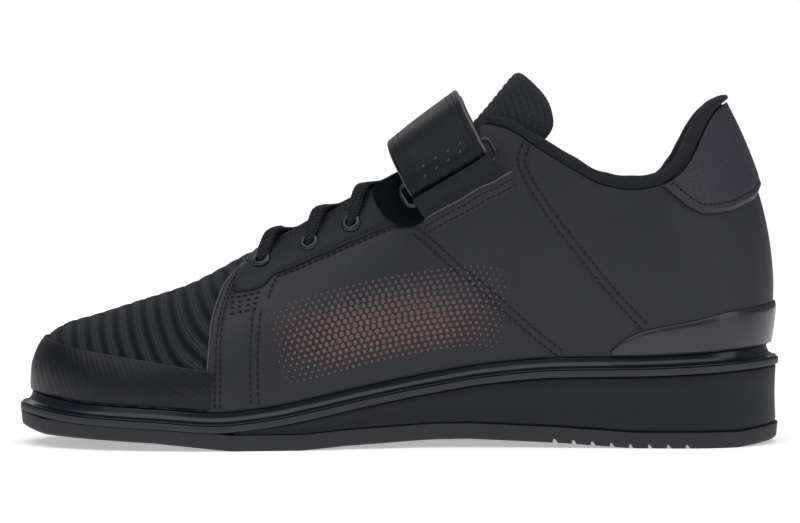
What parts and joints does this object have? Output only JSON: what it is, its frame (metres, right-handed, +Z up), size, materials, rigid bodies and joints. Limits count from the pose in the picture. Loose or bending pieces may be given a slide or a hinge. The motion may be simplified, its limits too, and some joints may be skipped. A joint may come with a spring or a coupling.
{
  "type": "weightlifting shoe",
  "caption": "Low black lifting shoe for the right foot, with a raised heel, laces and an instep strap through a ring.",
  "frame": {"origin": "middle of the shoe's box in plan, on the floor that the sole stands on", "axes": "+X from toe to heel, -Y to the inner (medial) side, +Z up"},
  "size_m": [0.298, 0.1055, 0.1463],
  "materials": {
    "outsole_rubber": "matte",
    "rim_rubber": "satin",
    "wedge_plastic": "fine texture",
    "glossy_ledge": "gloss",
    "lining": "matte",
    "leather": "satin",
    "toe_cap_film": "satin",
    "counter_plastic": "brushed gloss",
    "heel_tab_leather": "satin",
    "knit": "matte",
    "eyelet_plastic": "satin",
    "lace_braid": "matte",
    "strap_leather": "satin",
    "webbing": "matte",
    "ring_metal": "gloss",
    "felt": "matte"
  },
  "bodies": {
    "root": {"outsole": "outsole_rubber", "wedge": "wedge_plastic", "rim": "rim_rubber", "welt": "glossy_ledge", "insole": "lining", "upper": "leather", "toe_cap": "toe_cap_film", "heel_counter": "counter_plastic", "heel_tab": "heel_tab_leather", "eyestay_medial": "leather", "eyestay_lateral": "leather", "collar_cuff": "knit", "tongue": "knit", "eyelet_medial_1": "eyelet_plastic", "eyelet_medial_2": "eyelet_plastic", "eyelet_medial_3": "eyelet_plastic", "eyelet_medial_4": "eyelet_plastic", "eyelet_lateral_1": "eyelet_plastic", "eyelet_lateral_2": "eyelet_plastic", "eyelet_lateral_3": "eyelet_plastic", "eyelet_lateral_4": "eyelet_plastic", "lace_crossing_1": "lace_braid", "lace_crossing_2": "lace_braid", "lace_crossing_3": "lace_braid", "strap": "strap_leather", "webbing": "webbing", "ring": "ring_metal", "ring_pad": "felt"}
  },
  "joints": []
}
